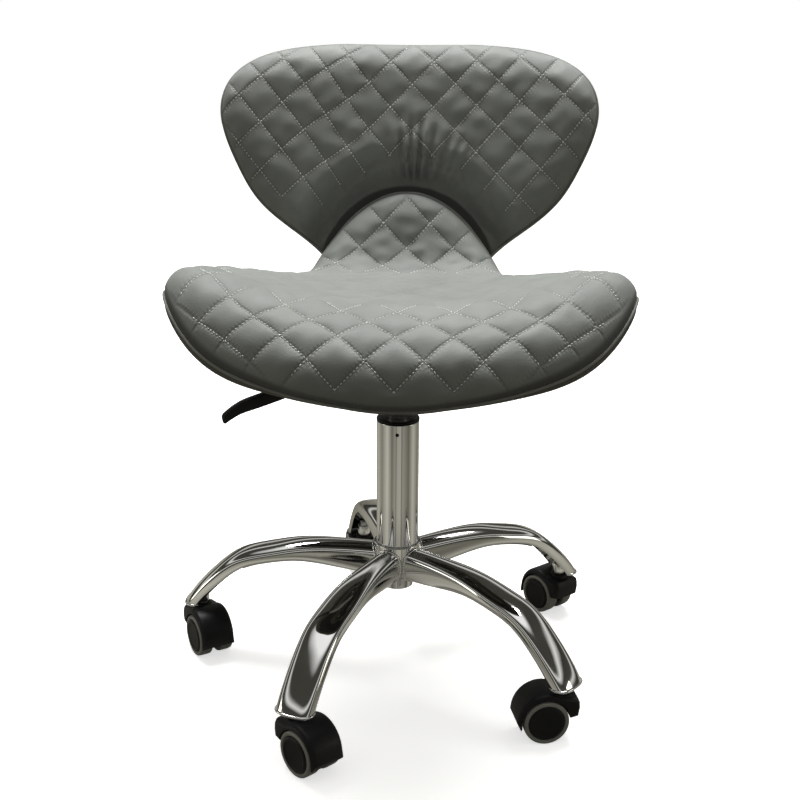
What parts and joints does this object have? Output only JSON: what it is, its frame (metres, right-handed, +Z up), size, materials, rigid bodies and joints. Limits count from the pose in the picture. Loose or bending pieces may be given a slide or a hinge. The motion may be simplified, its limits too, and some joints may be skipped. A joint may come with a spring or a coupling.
{
  "type": "rolling stylist stool",
  "caption": "Rolling stylist stool: quilted saddle seat with a raised tongue, quilted wing backrest, release lever, gas-lift column and star base on casters.",
  "frame": {"origin": "on the floor, at the centre of the stool's footprint box; the column's axis stands 11 mm from it", "axes": "+Z up along the column, the sitter faces -Y, the release lever points to -X"},
  "size_m": [0.5248, 0.5701, 0.7268],
  "materials": {
    "chrome": "polished",
    "steel": "zinc plated",
    "black_steel": "black powder coat",
    "black_nylon": "moulded, semi-matte",
    "grey_tread": "smooth soft tread",
    "grey_leather": "quilted soft grain artificial leather",
    "shell_leather": "plain artificial leather over a moulded shell"
  },
  "bodies": {
    "base": {"base_hub": "chrome", "base_leg_1": "chrome", "base_leg_2": "chrome", "base_leg_3": "chrome", "base_leg_4": "chrome", "base_leg_5": "chrome", "column_tube": "chrome", "guide_bush": "black_nylon", "thrust_bearing": "steel", "caster_1_stem": "steel", "caster_2_stem": "steel", "caster_3_stem": "steel", "caster_4_stem": "steel", "caster_5_stem": "steel"},
    "lift_rod": {"piston_rod": "steel", "retaining_clip": "steel"},
    "seat_unit": {"pressure_tube": "chrome", "seat_plate": "black_steel", "plate_bolt_1": "steel", "plate_bolt_2": "steel", "plate_bolt_3": "steel", "plate_bolt_4": "steel", "seat_shell": "shell_leather", "seat_cushion": "grey_leather", "back_shell": "shell_leather", "back_cushion": "grey_leather", "back_clamp": "steel"},
    "lever": {"lever_rod": "steel", "lever_paddle": "black_nylon"},
    "release_pin": {"release_pin": "steel"},
    "caster_1": {"caster_1_hood": "black_nylon", "caster_1_axle": "steel"},
    "caster_1_wheel_left": {"caster_1_wheel_left": "black_nylon", "caster_1_tread_left": "grey_tread"},
    "caster_1_wheel_right": {"caster_1_wheel_right": "black_nylon", "caster_1_tread_right": "grey_tread"},
    "caster_2": {"caster_2_hood": "black_nylon", "caster_2_axle": "steel"},
    "caster_2_wheel_left": {"caster_2_wheel_left": "black_nylon", "caster_2_tread_left": "grey_tread"},
    "caster_2_wheel_right": {"caster_2_wheel_right": "black_nylon", "caster_2_tread_right": "grey_tread"},
    "caster_3": {"caster_3_hood": "black_nylon", "caster_3_axle": "steel"},
    "caster_3_wheel_left": {"caster_3_wheel_left": "black_nylon", "caster_3_tread_left": "grey_tread"},
    "caster_3_wheel_right": {"caster_3_wheel_right": "black_nylon", "caster_3_tread_right": "grey_tread"},
    "caster_4": {"caster_4_hood": "black_nylon", "caster_4_axle": "steel"},
    "caster_4_wheel_left": {"caster_4_wheel_left": "black_nylon", "caster_4_tread_left": "grey_tread"},
    "caster_4_wheel_right": {"caster_4_wheel_right": "black_nylon", "caster_4_tread_right": "grey_tread"},
    "caster_5": {"caster_5_hood": "black_nylon", "caster_5_axle": "steel"},
    "caster_5_wheel_left": {"caster_5_wheel_left": "black_nylon", "caster_5_tread_left": "grey_tread"},
    "caster_5_wheel_right": {"caster_5_wheel_right": "black_nylon", "caster_5_tread_right": "grey_tread"}
  },
  "joints": [
    {"name": "seat_swivel", "type": "hinge", "parent": "base", "child": "lift_rod", "pos_m": [0.0076, -0.0084, 0.2], "axis": [0, 0, 1], "continuous": true},
    {"name": "height_lift", "type": "slide", "parent": "lift_rod", "child": "seat_unit", "axis": [0, 0, 1], "range_m": [0, 0.1]},
    {"name": "lever_lift", "type": "hinge", "parent": "seat_unit", "child": "lever", "pos_m": [-0.0124, -0.0084, 0.3646], "axis": [0, 1, 0], "range_deg": [0, 7]},
    {"name": "pin_press", "type": "slide", "parent": "seat_unit", "child": "release_pin", "axis": [0, 0, -1], "range_m": [0, 0.0032]},
    {"name": "caster_1_swivel", "type": "hinge", "parent": "base", "child": "caster_1", "pos_m": [0.19382, -0.16914, 0.06], "axis": [0, 0, 1], "continuous": true},
    {"name": "caster_1_spin_left", "type": "hinge", "parent": "caster_1", "child": "caster_1_wheel_left", "pos_m": [0.17419, -0.17296, 0.0255], "axis": [0.1908, -0.9816, 0], "continuous": true},
    {"name": "caster_1_spin_right", "type": "hinge", "parent": "caster_1", "child": "caster_1_wheel_right", "pos_m": [0.17419, -0.17296, 0.0255], "axis": [0.1908, -0.9816, 0], "continuous": true},
    {"name": "caster_2_swivel", "type": "hinge", "parent": "base", "child": "caster_2", "pos_m": [0.21802, 0.11904, 0.06], "axis": [0, 0, 1], "continuous": true},
    {"name": "caster_2_spin_left", "type": "hinge", "parent": "caster_2", "child": "caster_2_wheel_left", "pos_m": [0.20516, 0.13436, 0.0255], "axis": [-0.766, -0.6428, 0], "continuous": true},
    {"name": "caster_2_spin_right", "type": "hinge", "parent": "caster_2", "child": "caster_2_wheel_right", "pos_m": [0.20516, 0.13436, 0.0255], "axis": [-0.766, -0.6428, 0], "continuous": true},
    {"name": "caster_3_swivel", "type": "hinge", "parent": "base", "child": "caster_3", "pos_m": [-0.04857, 0.2311, 0.06], "axis": [0, 0, 1], "continuous": true},
    {"name": "caster_3_spin_left", "type": "hinge", "parent": "caster_3", "child": "caster_3_wheel_left", "pos_m": [-0.05273, 0.25066, 0.0255], "axis": [-0.9781, -0.2079, 0], "continuous": true},
    {"name": "caster_3_spin_right", "type": "hinge", "parent": "caster_3", "child": "caster_3_wheel_right", "pos_m": [-0.05273, 0.25066, 0.0255], "axis": [-0.9781, -0.2079, 0], "continuous": true},
    {"name": "caster_4_swivel", "type": "hinge", "parent": "base", "child": "caster_4", "pos_m": [-0.23754, 0.01218, 0.06], "axis": [0, 0, 1], "continuous": true},
    {"name": "caster_4_spin_left", "type": "hinge", "parent": "caster_4", "child": "caster_4_wheel_left", "pos_m": [-0.22664, -0.00459, 0.0255], "axis": [0.8387, 0.5446, 0], "continuous": true},
    {"name": "caster_4_spin_right", "type": "hinge", "parent": "caster_4", "child": "caster_4_wheel_right", "pos_m": [-0.22664, -0.00459, 0.0255], "axis": [0.8387, 0.5446, 0], "continuous": true},
    {"name": "caster_5_swivel", "type": "hinge", "parent": "base", "child": "caster_5", "pos_m": [-0.08773, -0.23518, 0.06], "axis": [0, 0, 1], "continuous": true},
    {"name": "caster_5_spin_left", "type": "hinge", "parent": "caster_5", "child": "caster_5_wheel_left", "pos_m": [-0.07384, -0.24957, 0.0255], "axis": [0.7193, 0.6947, 0], "continuous": true},
    {"name": "caster_5_spin_right", "type": "hinge", "parent": "caster_5", "child": "caster_5_wheel_right", "pos_m": [-0.07384, -0.24957, 0.0255], "axis": [0.7193, 0.6947, 0], "continuous": true}
  ],
  "couplings": [
    {"joint": "pin_press", "follows": "lever_lift", "m_per_rad": 0.025}
  ]
}
